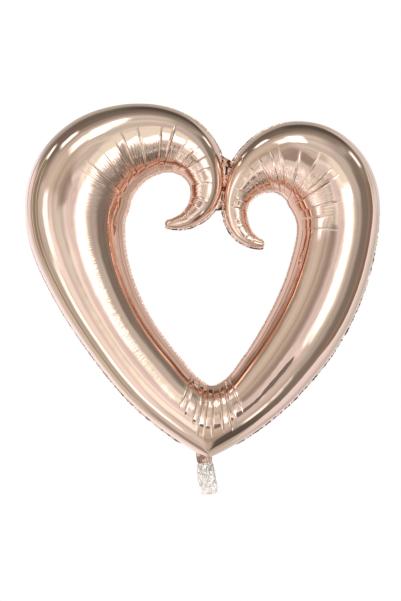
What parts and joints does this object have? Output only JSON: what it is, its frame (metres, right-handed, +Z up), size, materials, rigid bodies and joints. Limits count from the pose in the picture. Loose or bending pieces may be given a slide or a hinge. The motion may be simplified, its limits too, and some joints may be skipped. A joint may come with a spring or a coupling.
{
  "type": "foil balloon",
  "caption": "Blown-up open heart of metallised film whose two ends curl in as hooks, with a sealed margin, a film check valve and a limp filling neck.",
  "frame": {"origin": "middle of the neck gather, where a ribbon is tied and the tail folds, just below the heart's bottom tip", "axes": "+Z up through the heart, -Y out of its front, +X to the right as the front is seen; the sealed margin lies in the plane Y = 0"},
  "size_m": [0.8907, 0.254, 0.9802],
  "materials": {
    "foil": "mirror-bright vapour-coated film with a rose-gold lacquer, taut, pleated on the inside of the bends",
    "sealed_margin": "heat-sealed double film, rose gold, finely crinkled",
    "crumpled_foil": "limp metallised film, crumpled, silvery rose",
    "valve_film": "thin milky polyethylene film",
    "valve_weld": "fused polyethylene, pressed flat, finely ribbed"
  },
  "bodies": {
    "heart": {"front_panel": "foil", "rear_panel": "foil", "outer_seam_left": "sealed_margin", "outer_seam_right": "sealed_margin", "inner_seam": "sealed_margin", "hook_web": "sealed_margin", "valve_anchor_weld": "valve_weld", "valve_front_film": "valve_film"},
    "valve_flap": {"valve_rear_film": "valve_film"},
    "neck": {"neck_gather": "crumpled_foil", "valve_neck_sleeve": "valve_film"},
    "tail_root": {"tail_upper_front": "crumpled_foil", "tail_upper_rear": "crumpled_foil", "valve_inlet_upper": "valve_film"},
    "tail_end": {"tail_lower_front": "crumpled_foil", "tail_lower_rear": "crumpled_foil", "valve_inlet_lower": "valve_film"}
  },
  "joints": [
    {"name": "neck_fold", "type": "hinge", "parent": "heart", "child": "neck", "pos_m": [0, 0, 0], "axis": [0.9903, 0, 0.1392], "range_deg": [-80, 80], "stiffness_Nm_per_rad": 0.001},
    {"name": "tail_twist", "type": "hinge", "parent": "neck", "child": "tail_root", "pos_m": [0.00084, 0, -0.00594], "axis": [-0.1392, 0, 0.9903], "range_deg": [-30, 30], "stiffness_Nm_per_rad": 0.001},
    {"name": "tail_curl", "type": "hinge", "parent": "tail_root", "child": "tail_end", "pos_m": [0.00515, 0, -0.03664], "axis": [0.9903, 0, 0.1392], "range_deg": [-60, 60], "stiffness_Nm_per_rad": 0.001},
    {"name": "valve_open", "type": "hinge", "parent": "heart", "child": "valve_flap", "pos_m": [-0.0016, 0.00065, 0.01139], "axis": [-0.9903, 0, -0.1392], "range_deg": [0, 8], "stiffness_Nm_per_rad": 0.002, "springref_deg": -2.86}
  ]
}
